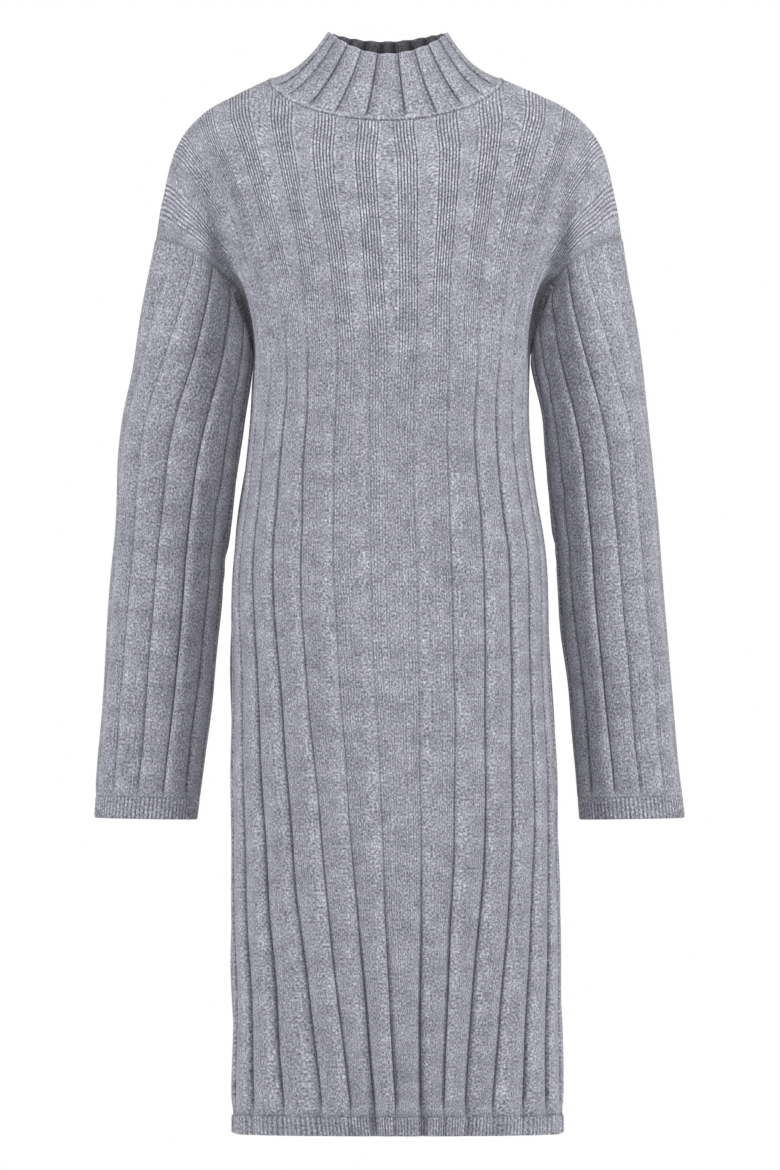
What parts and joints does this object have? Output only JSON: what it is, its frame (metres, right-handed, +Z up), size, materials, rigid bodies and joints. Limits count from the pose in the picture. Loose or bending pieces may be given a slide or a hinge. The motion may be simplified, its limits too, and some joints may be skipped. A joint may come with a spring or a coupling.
{
  "type": "sweater dress",
  "caption": "Mock-neck sweater dress in wide rib knit with drop shoulders, long wide sleeves and a knee-length skirt, hollow and filled out as worn.",
  "frame": {"origin": "between the shoulders, level with the points where the collar seam meets the shoulder seams", "axes": "+Z up, -Y the front of the dress, +X to the viewer's right when seen from the front"},
  "size_m": [0.561, 0.2278, 1.0482],
  "materials": {
    "rib_knit": "soft brushed wool-blend knit in cool grey marl, wide flat ribs",
    "band_knit": "the same yarn in a firm 1x1 rib"
  },
  "bodies": {
    "root": {"front": "rib_knit", "back": "rib_knit", "sleeve_left": "rib_knit", "sleeve_right": "rib_knit", "collar": "rib_knit", "hem_rib_front": "band_knit", "hem_rib_back": "band_knit", "cuff_rib_left": "band_knit", "cuff_rib_right": "band_knit"}
  },
  "joints": []
}
